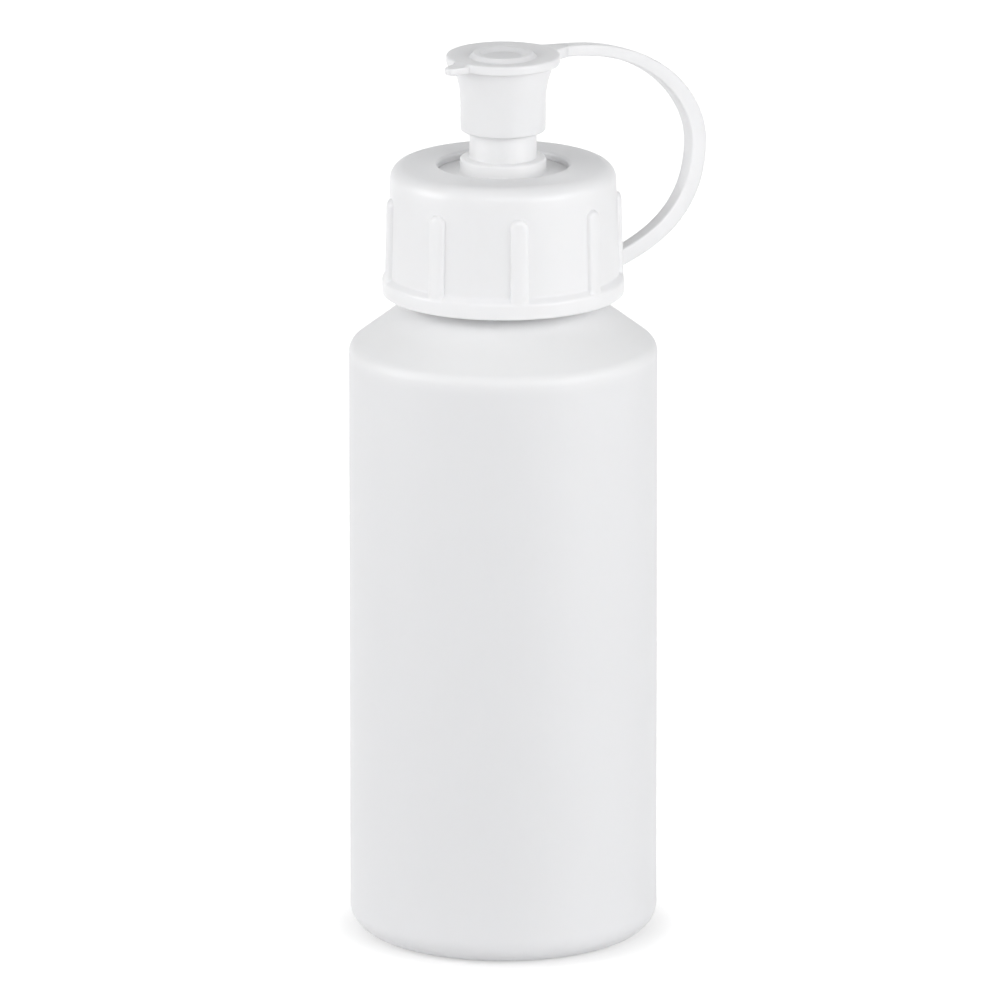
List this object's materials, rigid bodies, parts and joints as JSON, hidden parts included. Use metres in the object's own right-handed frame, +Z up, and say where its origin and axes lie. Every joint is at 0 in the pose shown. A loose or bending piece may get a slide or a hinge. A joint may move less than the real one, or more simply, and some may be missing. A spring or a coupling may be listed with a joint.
{
  "type": "pharmacy bottle",
  "caption": "Upright cylindrical plastic dispensing bottle with a ribbed screw cap, a central spout and a push-on closure held by a tether strap.",
  "frame": {"origin": "on the bottle's axis, in the plane of its standing ring", "axes": "+Z up along the bottle's axis, +X towards the tether strap, whose middle plane is XZ"},
  "size_m": [0.0591, 0.045, 0.1319],
  "materials": {
    "bottle_plastic": "satin blow-moulded polyethylene, white",
    "insert_plastic": "soft gloss injection-moulded polyethylene, white",
    "cap_plastic": "soft gloss injection-moulded polyethylene, white"
  },
  "bodies": {
    "bottle": {"bottle": "bottle_plastic"},
    "nozzle": {"nozzle_insert": "insert_plastic"},
    "cap": {"screw_cap": "cap_plastic", "tether_strap": "cap_plastic"},
    "closure": {"closure_cap": "cap_plastic"}
  },
  "joints": [
    {"name": "nozzle_rise", "type": "slide", "parent": "bottle", "child": "nozzle", "axis": [0, 0, 1], "range_m": [0, 0.0053]},
    {"name": "cap_turn", "type": "hinge", "parent": "nozzle", "child": "cap", "pos_m": [0, 0, 0.1], "axis": [0, 0, 1], "range_deg": [0, 540]},
    {"name": "closure_lift", "type": "slide", "parent": "cap", "child": "closure", "axis": [0, 0, 1], "range_m": [0, 0.014], "deforming": ["tether_strap"]}
  ],
  "couplings": [
    {"joint": "nozzle_rise", "follows": "cap_turn", "m_per_rad": 0.000557}
  ]
}
